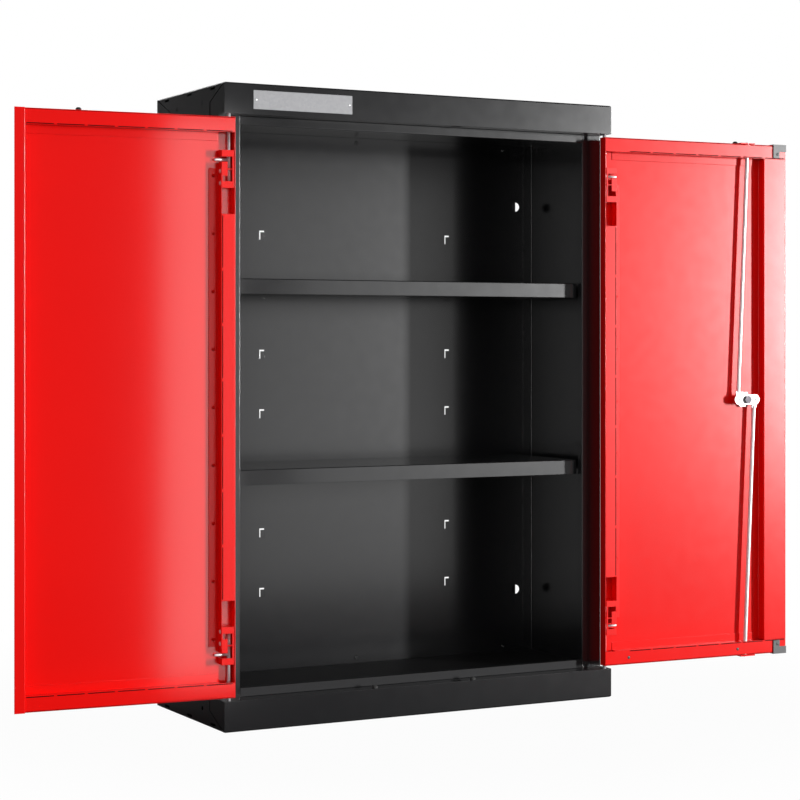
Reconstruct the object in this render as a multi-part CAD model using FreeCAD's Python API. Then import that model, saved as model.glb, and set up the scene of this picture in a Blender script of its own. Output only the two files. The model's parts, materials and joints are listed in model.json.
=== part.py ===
"""Two-door steel wall cabinet: a folded carcass with caps, shelves, pivot doors and a rod lock.

Millimetres, +Z up. The origin is the centre of the underside, and the doors open towards -Y.
Door pieces are drawn shut and left-handed, then mirrored for the right door and swung open.
"""
import FreeCAD, Part
import math
import os
from FreeCAD import Vector

# Carcass as a whole
cabinet_width = 710.0
cabinet_depth = 280.0
cabinet_height = 1000.0
carcass_sheet = 1.2
bend_radius = 1.0
overrun = 5.0  # how far a cut runs past the faces that it opens
fit_gap = 0.3  # clearance between folded pieces that stand side by side

# Top and base caps: hollow folded boxes
cap_height = 48.0
cap_edge_bevel = 2.0
cap_front_return = 44.0
cap_side_return = 15.0
cap_rear_return = 40.0
cap_slot_length = 20.0
cap_slot_height = 3.5
cap_slot_rise = 6.0
cap_slot_spacing_share = 0.34  # of the depth
cap_slot_count = 3
side_hole_diameter = 7.0
side_hole_spacing_share = 0.375  # of the depth
side_hole_rise = 25.0
seam_gap = 0.8
seam_start = 10.0
seam_foot = 4.0
seam_reach = 58.0
seam_knee = 27.0

# Front frame, sides, floor and back
frame_setback = 30.0
frame_hem = 12.0
stile_width = 38.0
rail_height = 14.0
side_inset = 1.5
rear_flange = 19.5
back_setback = 253.0
back_sheet = 1.0

# Shelf slots in the back, and the rails that hold the cabinet to the wall
shelf_slot_width = 9.0
shelf_slot_height = 15.0
shelf_slot_pitch = 100.0
shelf_slot_rise = 132.0
shelf_slot_headroom = 100.0
shelf_slot_spacing = 356.0
wall_hole_diameter = 9.0
wall_access_diameter = 16.0
wall_hole_inset = 36.0
wall_hole_spacing = 684.0
wall_rail_sheet = 1.5
wall_rail_width = 44.0
wall_rail_foot = 22.0
wall_rail_edge = 15.0

# Shelves
shelf_sheet = 1.0
shelf_side_gap = 1.5
shelf_setback = 15.0
shelf_flange = 24.0
shelf_hem = 12.0
shelf_edge_radius = 1.5
shelf_lift = 20.0
shelf_hook_width = 7.0
shelf_hook_lap = 5.0
shelf_hook_drop = 6.0
shelf_hook_sheet = 1.5
lower_shelf_slot_count = 2  # free slots below it
upper_shelf_slot_count = 5

# Doors
left_door_width = 327.6
right_door_width = 371.6
left_open_angle = 184.4
right_open_angle = 178.2
door_setback = 1.5
door_thickness = 18.0
door_sheet = 1.0
door_side_gap = 3.4
door_end_gap = 6.0
door_edge_radius = 1.8
end_flange = 24.0
fold_foot = 12.5
lip_sheet = 1.2
lip_width = 16.0
lip_stand = 2.4
lip_start = 3.0

# Stiffening posts along the hinge edge and the lock edge
hinge_post_width = 22.0
hinge_post_foot = 15.0
hinge_post_end = 78.4
hinge_flange_end = 149.5
lock_post_width = 45.0

# Pivot bolts and their brackets
pivot_from_side = 9.7
pivot_from_front = 6.0
bolt_diameter = 6.0
bolt_play = 0.15
bolt_reach = 8.0
bolt_tail = 34.0
handle_diameter = 4.4
handle_sides = 8
handle_length = 24.0
handle_angle = 90.0
bracket_sheet = 1.5
bracket_from_end = 51.5
bracket_height = 58.0
bracket_hinge_gap = 1.4
bracket_slot_inset = 2.6
bracket_slot_width = 7.6
bracket_head = 10.2
bracket_foot = 10.2
notch_height = 8.0
park_notch_height = 8.0
bracket_middle_drop = 29.0

# Buffers and corner caps
buffer_diameter = 9.0
buffer_bevel = 2.0
buffer_height = 4.5
buffer_sides = 10
base_buffer_spacing = 180.0
base_buffer_setback = 9.0
door_buffer_from_edge = 100.0
corner_cap_length = 27.0
corner_cap_height = 11.0
corner_cap_leg = 13.0
corner_cap_leg_drop = 11.0
corner_cap_wall = 2.0
corner_cap_top = 1.5

# Lock, crank and rods
lock_from_edge = 80.5
round_sides = 24  # flat sides of the lock's round pieces
hexagon_sides = 6
lock_flange_diameter = 30.0
lock_flange_height = 4.0
lock_body_diameter = 22.0
lock_play = 0.1
barrel_diameter = 16.0
barrel_stand = 0.8
key_slot_length = 9.0
key_slot_width = 2.2
key_slot_depth = 3.0
lock_nut_flats = 26.0
lock_nut_height = 4.5
tail_square = 8.0
cam_nut_flats = 13.0
cam_nut_height = 4.0
crank_radius = 17.0
cam_end_radius = 8.5
cam_sheet = 2.5
cam_depth = 1.2
rod_diameter = 7.0
rod_eye_radius = 6.5
rod_eye_sheet = 3.0
rod_neck_length = 14.0
rod_neck_width = 9.0
rod_play = 0.3
rod_stand = 1.5
rod_end_offset = 3.0  # how far a rod's far end crosses the lock's axis
rod_rivet_diameter = 5.0
rod_rivet_head = 8.6
rod_rivet_cap = 1.2
guide_length = 30.0
guide_width = 12.0
guide_sheet = 2.0
guide_play = 0.6
guide_travel = 12.0
keeper_play = 2.5

# Planes and axes that several pieces share
half_width = cabinet_width / 2
front_y = -cabinet_depth / 2
rear_y = cabinet_depth / 2
frame_y = front_y + frame_setback
hem_y = frame_y + frame_hem
back_y = front_y + back_setback
floor_z = cap_height
ceiling_z = cabinet_height - cap_height
middle_z = cabinet_height / 2
side_x = half_width - side_inset
cap_slot_spacing = cap_slot_spacing_share * cabinet_depth
side_hole_spacing = side_hole_spacing_share * cabinet_depth
opening_x = side_x - stile_width
wall_hole_x = half_width - wall_hole_inset
door_front_y = front_y + door_setback
skin_y = door_front_y + door_sheet
door_inner_y = door_front_y + door_thickness
door_low = floor_z + door_end_gap
door_high = ceiling_z - door_end_gap
hinge_x = door_side_gap - half_width
pivot_x = pivot_from_side - half_width
pivot_y = front_y + pivot_from_front
lock_x = hinge_x + right_door_width - lock_from_edge
cam_inner_y = door_inner_y - cam_depth
cam_outer_y = cam_inner_y - cam_sheet
rod_y = cam_outer_y - rod_play - rod_eye_sheet / 2
rod_lean = math.degrees(math.atan2(crank_radius + rod_end_offset, door_high - middle_z))
handle_z = door_high - bracket_from_end - bracket_head - notch_height / 2
UP = Vector(0, 0, 1)
ACROSS = Vector(1, 0, 0)
INWARD = Vector(0, 1, 0)


def block(x, y, z):
    """A box between three pairs of limits."""
    return Part.makeBox(x[1] - x[0], y[1] - y[0], z[1] - z[0], Vector(x[0], y[0], z[0]))


def drum(diameter, start, end):
    """A cylinder between two points on its axis."""
    return Part.makeCylinder(diameter / 2, (end - start).Length, start, end - start)


def about(middle, size):
    """The limits of a span of that size around its middle."""
    return (middle - size / 2, middle + size / 2)


def drawn(edges, run):
    """A closed outline, pushed along a run."""
    return Part.Face(Part.Wire(Part.__sortEdges__(edges))).extrude(run)


def rounded_path(points, radii):
    """Straight runs through the points, with an arc at each corner that has a radius."""
    edges = []
    start = points[0]
    for before, corner, after, radius in zip(points, points[1:], points[2:], radii):
        run_in = (corner - before).normalize()
        run_out = (after - corner).normalize()
        half_turn = run_in.getAngle(run_out) / 2
        reach = radius * math.tan(half_turn)
        first = corner - run_in * reach
        last = corner + run_out * reach
        rise = radius / math.cos(half_turn) - radius
        middle = corner + (run_out - run_in).normalize() * rise
        edges.append(Part.makeLine(start, first))
        if radius > 0:
            edges.append(Part.Arc(first, middle, last).toShape())
        start = last
    edges.append(Part.makeLine(start, points[-1]))
    return edges


def folded(points, sheet, side, run, bend=bend_radius):
    """A bent sheet: the points follow one face, the sheet lies to their left (1) or right (-1)."""
    along = Vector(run).normalize()
    normals = []
    for first, last in zip(points, points[1:]):
        normals.append(along.cross(last - first).normalize() * side)
    far_points = [points[0] + normals[0] * sheet]
    near_radii = []
    far_radii = []
    for before, corner, after in zip(normals, points[1:], normals[1:]):
        far_points.append(corner + (before + after) * (sheet / (1 + before.dot(after))))
        inside = (far_points[-1] - corner).dot(after - before) < 0
        near_radii.append(bend + sheet if inside else bend)
        far_radii.append(bend if inside else bend + sheet)
    far_points.append(points[-1] + normals[-1] * sheet)
    near = rounded_path(points, near_radii)
    far = rounded_path(far_points, far_radii)
    ends = [Part.makeLine(points[0], far_points[0]), Part.makeLine(points[-1], far_points[-1])]
    return drawn(near + far + ends, run)


def ring(diameter, centre, axis, first, sides):
    """A regular outline of flat sides around an axis, with its first corner in a given direction."""
    corner = first * (diameter / 2)
    turn = FreeCAD.Rotation(axis, 360 / sides)
    points = [centre + corner]
    for _ in range(sides):
        corner = turn.multVec(corner)
        points.append(centre + corner)
    return Part.makePolygon(points)


def rounded_bar(centre, along, half_length, radius, run):
    """A flat bar with round ends of many flat sides, pushed along a run."""
    across = Vector(run).normalize().cross(along) * radius
    points = []
    for end, start_angle in ((half_length, 0), (-half_length, 180)):
        for step in range(round_sides // 2 + 1):
            turn = FreeCAD.Rotation(run, -start_angle - step * 360 / round_sides)
            points.append(centre + along * end + turn.multVec(across))
    return Part.Face(Part.makePolygon(points + points[:1])).extrude(run)


def hexagon(flats, start, run):
    """A six-sided prism on an axis along Y."""
    across_corners = flats / math.cos(math.pi / hexagon_sides)
    return Part.Face(ring(across_corners, start, INWARD, ACROSS, hexagon_sides)).extrude(run)


def upside_down(shape):
    """The same piece at the other end of the cabinet."""
    return shape.mirror(Vector(0, 0, middle_z), UP)


def other_hand(shape):
    """The same piece on the other side of the cabinet."""
    return shape.mirror(Vector(0, 0, 0), ACROSS)


def on_left_door(shape):
    """A shut, left-handed door piece, swung open."""
    return shape.rotated(Vector(pivot_x, pivot_y, 0), UP, -left_open_angle)


def on_right_door(shape):
    """A shut, left-handed door piece, mirrored and swung open."""
    return other_hand(shape).rotated(Vector(-pivot_x, pivot_y, 0), UP, right_open_angle)


def cap_seam(sign):
    """The mitre gap on a cap's side faces, at the front (-1) or the rear (1)."""
    edge_y = sign * cabinet_depth / 2
    left = -half_width - overrun
    points = [
        Vector(left, edge_y - sign * seam_start, seam_foot),
        Vector(left, edge_y - sign * seam_reach, seam_knee),
        Vector(left, edge_y - sign * seam_reach, cap_height + overrun),
    ]
    return folded(points, seam_gap, sign, ACROSS * (cabinet_width + 2 * overrun), 0)


def base_cap():
    """The base: a hollow folded box, open in the middle of its upper face."""
    body = block((-half_width, half_width), (front_y, rear_y), (0, cap_height))
    bevelled = [edge for edge in body.Edges if edge.CenterOfMass.z < carcass_sheet]
    body = body.makeChamfer(cap_edge_bevel, bevelled)
    inner_x = half_width - carcass_sheet
    inner_z = cap_height - carcass_sheet
    hollow = block((-inner_x, inner_x), (front_y + carcass_sheet, rear_y - carcass_sheet),
                   (carcass_sheet, inner_z))
    mouth_x = half_width - cap_side_return
    mouth = block((-mouth_x, mouth_x), (front_y + cap_front_return, rear_y - cap_rear_return),
                  (inner_z - overrun, cap_height + overrun))
    cutters = [hollow, mouth, cap_seam(-1), cap_seam(1)]
    left = -half_width - overrun
    through = ACROSS * (cabinet_width + 2 * overrun)
    for index in range(cap_slot_count):
        y = (index - (cap_slot_count - 1) / 2) * cap_slot_spacing
        cutters.append(block((left, -left), about(y, cap_slot_length), about(cap_slot_rise, cap_slot_height)))
    for y in about(0, side_hole_spacing):
        hole = Vector(left, y, side_hole_rise)
        cutters.append(drum(side_hole_diameter, hole, hole + through))
    drill = UP * (carcass_sheet + 2 * overrun)
    for x in (pivot_x, -pivot_x):
        hole = Vector(x, pivot_y, inner_z - overrun)
        cutters.append(drum(bolt_diameter + 2 * bolt_play, hole, hole + drill))
    keeper = rod_diameter + 2 * keeper_play
    through_z = (inner_z - overrun, cap_height + overrun)
    cutters.append(block(about(-lock_x, keeper + 2 * rod_end_offset), about(rod_y, keeper), through_z))
    return body.cut(cutters)


def left_side():
    """A side panel, folded round to a hemmed stile in front and a flange at the rear."""
    points = [
        Vector(-opening_x, hem_y, floor_z),
        Vector(-opening_x, frame_y, floor_z),
        Vector(-side_x, frame_y, floor_z),
        Vector(-side_x, back_y, floor_z),
        Vector(rear_flange - side_x, back_y, floor_z),
    ]
    return folded(points, carcass_sheet, -1, UP * (ceiling_z - floor_z))


def floor_panel():
    """The floor, folded up into a hollow rail that fits between the stiles."""
    half = side_x - carcass_sheet - fit_gap
    floor_top = floor_z + carcass_sheet
    rail_top = floor_z + rail_height
    points = [
        Vector(-half, back_y - carcass_sheet - bend_radius, floor_top),
        Vector(-half, hem_y, floor_top),
        Vector(-half, hem_y, rail_top),
        Vector(-half, frame_y, rail_top),
        Vector(-half, frame_y, floor_z + fit_gap),
    ]
    panel = folded(points, carcass_sheet, 1, ACROSS * (2 * half))
    corner = block((opening_x - fit_gap, side_x), (frame_y - overrun, hem_y + fit_gap),
                   (floor_z - overrun, rail_top + overrun))
    return panel.cut([corner, other_hand(corner)])


def slot_rows():
    """Heights of the shelf slots, from the lowest up."""
    lowest = floor_z + shelf_slot_rise
    highest = ceiling_z - shelf_slot_headroom
    count = int((highest - lowest) / shelf_slot_pitch) + 1
    return [lowest + index * shelf_slot_pitch for index in range(count)]


def back_panel():
    """The back, with two columns of shelf slots and holes to reach the wall bolts."""
    panel = block((-side_x, side_x), (back_y, back_y + back_sheet), (floor_z, ceiling_z))
    drill = (back_y - overrun, back_y + back_sheet + overrun)
    cutters = []
    for x in about(0, shelf_slot_spacing):
        for z in slot_rows():
            cutters.append(block(about(x, shelf_slot_width), drill, about(z, shelf_slot_height)))
    for x in (-wall_hole_x, wall_hole_x):
        for z in about(middle_z, wall_hole_spacing):
            cutters.append(drum(wall_access_diameter, Vector(x, drill[0], z), Vector(x, drill[1], z)))
    return panel.cut(cutters)


def right_wall_rail():
    """An upright Z rail behind the back, drilled for the wall bolts."""
    behind = back_y + back_sheet
    web_y = rear_y - wall_rail_sheet
    edge = wall_hole_x + wall_rail_edge
    corner = edge - wall_rail_width
    points = [
        Vector(corner - wall_rail_foot, behind, floor_z),
        Vector(corner, behind, floor_z),
        Vector(corner, web_y, floor_z),
        Vector(edge, web_y, floor_z),
    ]
    rail = folded(points, wall_rail_sheet, 1, UP * (ceiling_z - floor_z), 0)
    holes = []
    for z in about(middle_z, wall_hole_spacing):
        start = Vector(wall_hole_x, web_y - overrun, z)
        holes.append(drum(wall_hole_diameter, start, start + INWARD * (wall_rail_sheet + 2 * overrun)))
    return rail.cut(holes)


def shelf(slots_below):
    """A folded shelf whose two rear hooks hang in the row above that many free slots."""
    slot_z = slot_rows()[slots_below]
    top = slot_z + shelf_lift
    low = top - shelf_flange
    half = opening_x - shelf_side_gap
    front = frame_y + shelf_setback
    rear = back_y - fit_gap
    tray = block((-half, half), (front, rear), (low, top))
    folds = []
    for edge in tray.Edges:
        middle = edge.CenterOfMass
        if middle.y < front + shelf_sheet and middle.z > top - shelf_sheet:
            folds.append(edge)
    tray = tray.makeFillet(shelf_edge_radius, folds)
    inside = half - shelf_sheet
    tray = tray.cut(block((-inside, inside), (front + shelf_sheet, rear - shelf_sheet),
                          (low - overrun, top - shelf_sheet)))
    tray = tray.fuse(block((-inside, inside), (front + shelf_sheet, front + shelf_hem),
                           (low, low + shelf_sheet)))
    slot_low = slot_z - shelf_slot_height / 2
    hook_front = back_y + back_sheet + fit_gap
    hook_rear = hook_front + shelf_hook_sheet
    neck_top = low + shelf_hook_lap
    for x in about(0, shelf_slot_spacing):
        width = about(x, shelf_hook_width)
        tray = tray.fuse(block(width, (rear - shelf_sheet, hook_rear), (slot_low, neck_top)))
        tray = tray.fuse(block(width, (hook_front, hook_rear), (slot_low - shelf_hook_drop, neck_top)))
    return tray.removeSplitter()


def rubber_buffer(foot):
    """A small blunt stud with flat sides that stands on its foot."""
    outline = ring(buffer_diameter, foot, UP, ACROSS, buffer_sides)
    stud = Part.Face(outline).extrude(UP * buffer_height)
    tip = [edge for edge in stud.Edges if edge.BoundBox.ZMin > foot.z]
    return stud.makeChamfer(buffer_bevel, tip)


def base_buffers():
    """The two buffers on the ledge of the base that carry the shut doors."""
    y = front_y + base_buffer_setback
    return Part.makeCompound([rubber_buffer(Vector(x, y, floor_z)) for x in about(0, base_buffer_spacing)])


def door_buffer(width):
    """The buffer on a door's top edge, near its free side."""
    x = hinge_x + width - door_buffer_from_edge
    return rubber_buffer(Vector(x, front_y + base_buffer_setback, door_high))


def end_fold(start_x, end_x):
    """The fold below a door's top flange: a wall back to the skin and a foot on the skin."""
    flange_z = door_high - end_flange
    foot_y = skin_y + door_sheet
    points = [
        Vector(start_x, door_inner_y, door_high - door_edge_radius),
        Vector(start_x, door_inner_y, flange_z),
        Vector(start_x, foot_y, flange_z),
        Vector(start_x, foot_y, flange_z - fold_foot),
    ]
    return folded(points, door_sheet, -1, ACROSS * (end_x - start_x), 0)


def door_tray(width, fold_end):
    """A door's folded sheet: skin, four edges, and flanges along the top and the bottom."""
    free_x = hinge_x + width
    tray = block((hinge_x, free_x), (door_front_y, door_inner_y), (door_low, door_high))
    rounded = []
    for edge in tray.Edges:
        middle = edge.CenterOfMass
        on_front = middle.y < skin_y
        on_flange = middle.y > door_inner_y - door_sheet and abs(middle.z - middle_z) > end_flange
        if on_front or on_flange:
            rounded.append(edge)
    tray = tray.makeFillet(door_edge_radius, rounded)
    inside_x = (hinge_x + door_sheet, free_x - door_sheet)
    tray = tray.cut(block(inside_x, (skin_y, door_inner_y + overrun),
                          (door_low + door_sheet, door_high - door_sheet)))
    flange = block(inside_x, (door_inner_y - door_sheet, door_inner_y),
                   (door_high - end_flange, door_high - door_edge_radius))
    fold = end_fold(hinge_x + door_sheet + hinge_post_width, fold_end)
    tray = tray.fuse([flange, fold, upside_down(flange), upside_down(fold)])
    low = Vector(pivot_x, pivot_y, door_low - overrun)
    high = Vector(pivot_x, pivot_y, door_high + overrun)
    return tray.cut(drum(bolt_diameter + 2 * bolt_play, low, high)).removeSplitter()


def left_door_panel():
    """The left door's sheet, whose folds run on to its free edge."""
    return door_tray(left_door_width, hinge_x + left_door_width - door_sheet)


def rod_slot(z_low, z_high):
    """The upright passage of the rods, long enough for their swing."""
    depth = rod_diameter + 2 * guide_play
    return block(about(lock_x, depth + guide_travel), about(rod_y, depth), (z_low, z_high))


def right_door_panel():
    """The right door's sheet, with the lock hole and the passages of the rods."""
    fold_end = hinge_x + right_door_width - door_sheet - lock_post_width - fold_foot - fit_gap
    tray = door_tray(right_door_width, fold_end)
    hole = Vector(lock_x, door_front_y - overrun, middle_z)
    hole_end = Vector(lock_x, skin_y + overrun, middle_z)
    cutters = [
        rod_slot(door_low - overrun, door_high + overrun),
        drum(lock_body_diameter + 2 * lock_play, hole, hole_end),
    ]
    return tray.cut(cutters)


def upright_fold(edge_x, inward, flange, foot, low, high):
    """A stiffening post: a flange in the door's inner plane, a wall and a foot on the skin."""
    wall_x = edge_x + inward * flange
    foot_y = skin_y + door_sheet
    points = [
        Vector(wall_x + inward * foot, foot_y, low),
        Vector(wall_x, foot_y, low),
        Vector(wall_x, door_inner_y, low),
        Vector(edge_x, door_inner_y, low),
    ]
    return folded(points, door_sheet, inward, UP * (high - low))


def hinge_post():
    """The post along the hinge edge, cut back at both ends to make room for the brackets."""
    edge_x = hinge_x + door_sheet
    low = door_low + hinge_post_end
    high = door_high - hinge_post_end
    post = upright_fold(edge_x, 1, hinge_post_width, hinge_post_foot, low, high)
    wall_x = edge_x + hinge_post_width - door_sheet
    window = block((edge_x - overrun, wall_x), (skin_y, door_inner_y + overrun),
                   (door_high - hinge_flange_end, high + overrun))
    return post.cut([window, upside_down(window)])


def lock_post():
    """The post along the free edge of the right door, between the end flanges."""
    low = door_low + end_flange + fit_gap
    high = door_high - end_flange - fit_gap
    edge_x = hinge_x + right_door_width - door_sheet
    return upright_fold(edge_x, -1, lock_post_width, fold_foot, low, high)


def meeting_strip():
    """The strip on the left door's free edge that the right door shuts over."""
    free_x = hinge_x + left_door_width
    lip_y = door_inner_y + lip_stand + lip_sheet
    points = [
        Vector(free_x, door_front_y + lip_start, door_low),
        Vector(free_x, lip_y, door_low),
        Vector(free_x + lip_width, lip_y, door_low),
    ]
    return folded(points, lip_sheet, -1, UP * (door_high - door_low))


def upper_bracket():
    """The box that carries a pivot bolt, with a bayonet slot for the bolt's handle."""
    low_x = hinge_x + door_sheet + bracket_hinge_gap
    high_x = hinge_x + hinge_post_width
    top = door_high - bracket_from_end
    low = top - bracket_height
    body = block((low_x, high_x), (skin_y, door_inner_y), (low, top))
    wall_x = high_x - bracket_sheet
    face_y = door_inner_y - bracket_sheet
    inside_y = (skin_y - overrun, face_y)
    body = body.cut(block((low_x - overrun, wall_x), inside_y, (low + bracket_sheet, top - bracket_sheet)))
    guide_z = top - bracket_middle_drop
    body = body.fuse(block((low_x, wall_x), (skin_y, face_y), about(guide_z, bracket_sheet)))
    slot_x = low_x + bracket_slot_inset
    slot_end_x = slot_x + bracket_slot_width
    slot_high = top - bracket_head
    slot_low = low + bracket_foot
    through_y = (face_y - bend_radius, door_inner_y + overrun)
    sweep_y = (skin_y - overrun, door_inner_y + overrun)
    past_x = high_x + overrun
    bolt_room = bolt_diameter + 2 * bolt_play
    park = block((slot_x, high_x - bracket_sheet), through_y, (slot_low, slot_low + park_notch_height))
    cutters = [
        block((slot_x, slot_end_x), through_y, (slot_low, guide_z - bracket_sheet / 2)),
        block((slot_x, slot_end_x), through_y, (guide_z + bracket_sheet / 2, slot_high)),
        block((slot_x, past_x), sweep_y, (slot_high - notch_height, slot_high)),
        park,
        block(about(pivot_x, bolt_room), (skin_y - overrun, pivot_y + bolt_room / 2),
              about(guide_z, 2 * bracket_sheet)),
        drum(bolt_room, Vector(pivot_x, pivot_y, top - overrun), Vector(pivot_x, pivot_y, top + overrun)),
    ]
    return body.cut(cutters).removeSplitter()


def upper_bolt():
    """A pivot bolt: a pin with a handle that is parked in its bracket's notch."""
    low = Vector(pivot_x, pivot_y, handle_z - bolt_tail)
    tip = Vector(pivot_x, pivot_y, ceiling_z + bolt_reach)
    pin = drum(bolt_diameter, low, tip)
    along = FreeCAD.Rotation(UP, -handle_angle).multVec(INWARD)
    root = Vector(pivot_x, pivot_y, handle_z)
    outline = ring(handle_diameter, root, along, UP, handle_sides)
    handle = Part.Face(outline).extrude(along * handle_length)
    return pin.fuse(handle).removeSplitter()


def corner_cap():
    """A plastic cap over the top corner of the right door's free edge."""
    free_x = hinge_x + right_door_width
    start_x = free_x - corner_cap_length
    face = (door_inner_y, door_inner_y + corner_cap_wall)
    low = door_high - corner_cap_height
    plate = block((start_x, free_x), face, (low, door_high + corner_cap_top))
    leg = block((start_x, start_x + corner_cap_leg), face, (low - corner_cap_leg_drop, low))
    cover = block((start_x, free_x), (door_front_y + door_edge_radius, door_inner_y),
                  (door_high, door_high + corner_cap_top))
    return plate.fuse([leg, cover]).removeSplitter()


def rod_guide():
    """The plate on the door's top edge that guides the upper rod."""
    top = door_high + guide_sheet
    plate = block(about(lock_x, guide_length), about(rod_y, guide_width), (door_high, top))
    return plate.cut(rod_slot(door_high - overrun, top + overrun))


def on_lock(y):
    """The point of the lock's axis at that depth."""
    return Vector(lock_x, y, middle_z)


def lock_housing():
    """The body of the lock: a flange outside the skin, a neck through it and a nut behind it."""
    outer = on_lock(door_front_y - lock_flange_height)
    outline = ring(lock_flange_diameter, outer, INWARD, ACROSS, round_sides)
    body = Part.Face(outline).extrude(INWARD * lock_flange_height)
    neck = drum(lock_body_diameter, outer, on_lock(skin_y))
    nut = hexagon(lock_nut_flats, on_lock(skin_y), INWARD * lock_nut_height)
    bore = drum(barrel_diameter + 2 * lock_play, outer - INWARD * overrun,
                on_lock(skin_y + lock_nut_height + overrun))
    return body.fuse([neck, nut]).cut(bore).removeSplitter()


def lock_barrel():
    """The turning barrel, with its key slot outside and a square tail for the crank."""
    face = door_front_y - lock_flange_height - barrel_stand
    barrel = drum(barrel_diameter, on_lock(face), on_lock(skin_y + lock_nut_height))
    tail = block(about(lock_x, tail_square), (skin_y, cam_inner_y), about(middle_z, tail_square))
    slot = block(about(lock_x, key_slot_width), (face - overrun, face + key_slot_depth),
                 about(middle_z, key_slot_length))
    return barrel.fuse(tail).cut(slot).removeSplitter()


def rod_pivots():
    """The crank's two pivots: the upper rod's, then the lower rod's, at the cam's outer face."""
    return [on_lock(cam_outer_y) - ACROSS * crank_radius, on_lock(cam_outer_y) + ACROSS * crank_radius]


def lock_cam():
    """The crank plate on the barrel's tail, with a pivot hole at each end."""
    run = INWARD * cam_sheet
    cam = rounded_bar(on_lock(cam_outer_y), ACROSS, crank_radius, cam_end_radius, run)
    drill = (cam_outer_y - overrun, cam_inner_y + overrun)
    square = tail_square + 2 * lock_play
    cutters = [block(about(lock_x, square), drill, about(middle_z, square))]
    for pivot in rod_pivots():
        cutters.append(drum(rod_rivet_diameter, pivot - INWARD * overrun, pivot + INWARD * overrun))
    return cam.cut(cutters).removeSplitter()


def cam_nut():
    """The nut that holds the crank on the barrel's tail."""
    return hexagon(cam_nut_flats, on_lock(cam_inner_y), INWARD * cam_nut_height)


def rod_rivets():
    """The two rivets that carry the rods on the crank."""
    under_y = rod_y - rod_eye_sheet / 2 - lock_play
    rivets = []
    for pivot in rod_pivots():
        under = Vector(pivot.x, under_y, pivot.z)
        over = Vector(pivot.x, cam_inner_y, pivot.z)
        shank = drum(rod_rivet_diameter, under, over)
        outline = ring(rod_rivet_head, over, INWARD, ACROSS, round_sides)
        head = Part.Face(outline).extrude(INWARD * rod_rivet_cap)
        rivets.append(shank.fuse(head).removeSplitter())
    return Part.makeCompound(rivets)


def upper_rod():
    """A round rod with a flat eye on the crank, leaning in to its guide in the top edge."""
    pivot = rod_pivots()[0]
    eye = Vector(pivot.x, rod_y, pivot.z)
    tip_z = door_high + guide_sheet + rod_stand
    flat = about(rod_y, rod_eye_sheet)
    outline = ring(2 * rod_eye_radius, Vector(eye.x, flat[0], eye.z), INWARD, ACROSS, round_sides)
    disc = Part.Face(outline).extrude(INWARD * rod_eye_sheet)
    neck = block(about(eye.x, rod_neck_width), flat, (eye.z, eye.z + rod_neck_length))
    bar_low = eye + UP * (rod_eye_radius + cam_end_radius / 2)
    bar = drum(rod_diameter, bar_low, Vector(eye.x, rod_y, tip_z))
    hole = drum(rod_rivet_diameter + 2 * lock_play, eye - INWARD * overrun, eye + INWARD * overrun)
    rod = disc.fuse([neck, bar]).cut(hole).removeSplitter()
    return rod.rotated(eye, INWARD, rod_lean)


def lower_rod():
    """The same rod, turned half round about the lock's axis."""
    return upper_rod().rotated(on_lock(0), INWARD, 180)


def both_ends(shape):
    """A piece and its twin at the other end of the cabinet."""
    return Part.makeCompound([shape, upside_down(shape)])


def carcass():
    """The pieces that stand still."""
    return {
        "top_cap": upside_down(base_cap()),
        "base_cap": base_cap(),
        "left_side": left_side(),
        "right_side": other_hand(left_side()),
        "back_panel": back_panel(),
        "floor_panel": floor_panel(),
        "ceiling_panel": upside_down(floor_panel()),
        "upper_shelf": shelf(upper_shelf_slot_count),
        "lower_shelf": shelf(lower_shelf_slot_count),
        "left_wall_rail": other_hand(right_wall_rail()),
        "right_wall_rail": right_wall_rail(),
        "base_buffers": base_buffers(),
    }


def door_hardware():
    """The pieces that both doors share, by the part of their name that follows the hand."""
    return {
        "hinge_post": hinge_post(),
        "upper_bracket": upper_bracket(),
        "lower_bracket": upside_down(upper_bracket()),
        "upper_bolt": upper_bolt(),
        "lower_bolt": upside_down(upper_bolt()),
    }


def left_door():
    """The left door's pieces, shut."""
    pieces = {"left_" + name: shape for name, shape in door_hardware().items()}
    pieces["left_door_panel"] = left_door_panel()
    pieces["left_door_buffer"] = door_buffer(left_door_width + lip_width)
    pieces["meeting_strip"] = meeting_strip()
    return pieces


def right_door():
    """The right door's pieces, shut and still left-handed."""
    pieces = {"right_" + name: shape for name, shape in door_hardware().items()}
    pieces["right_door_panel"] = right_door_panel()
    pieces["right_door_buffer"] = door_buffer(right_door_width)
    pieces["lock_post"] = lock_post()
    pieces["corner_caps"] = both_ends(corner_cap())
    pieces["rod_guides"] = both_ends(rod_guide())
    pieces["lock_housing"] = lock_housing()
    pieces["lock_barrel"] = lock_barrel()
    pieces["lock_cam"] = lock_cam()
    pieces["cam_nut"] = cam_nut()
    pieces["rod_rivets"] = rod_rivets()
    pieces["upper_rod"] = upper_rod()
    pieces["lower_rod"] = lower_rod()
    return pieces


def build():
    """Every piece by name, with the doors open."""
    pieces = carcass()
    for name, shape in left_door().items():
        pieces[name] = on_left_door(shape)
    for name, shape in right_door().items():
        pieces[name] = on_right_door(shape)
    return pieces


def main():
    os.makedirs("parts", exist_ok=True)
    for name, shape in build().items():
        shape.exportStep(os.path.join("parts", name + ".step"))
        print(name, len(shape.Solids), shape.isValid(), round(shape.Volume))


if __name__ == "__main__":
    main()
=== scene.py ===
# %% [markdown]
# # A two-door steel wall cabinet
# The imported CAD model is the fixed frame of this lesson. It already has the folded carcass, the shelves, the
# doors and the lock in their true places, in metres. Blender adds what CAD leaves out: paint, plating, small
# fasteners, slit bend lines, seams and the light. Nothing of the frame is moved.

# %% Load the frame
import bmesh
import bpy
import json
import math
from mathutils import Matrix, Vector


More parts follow.
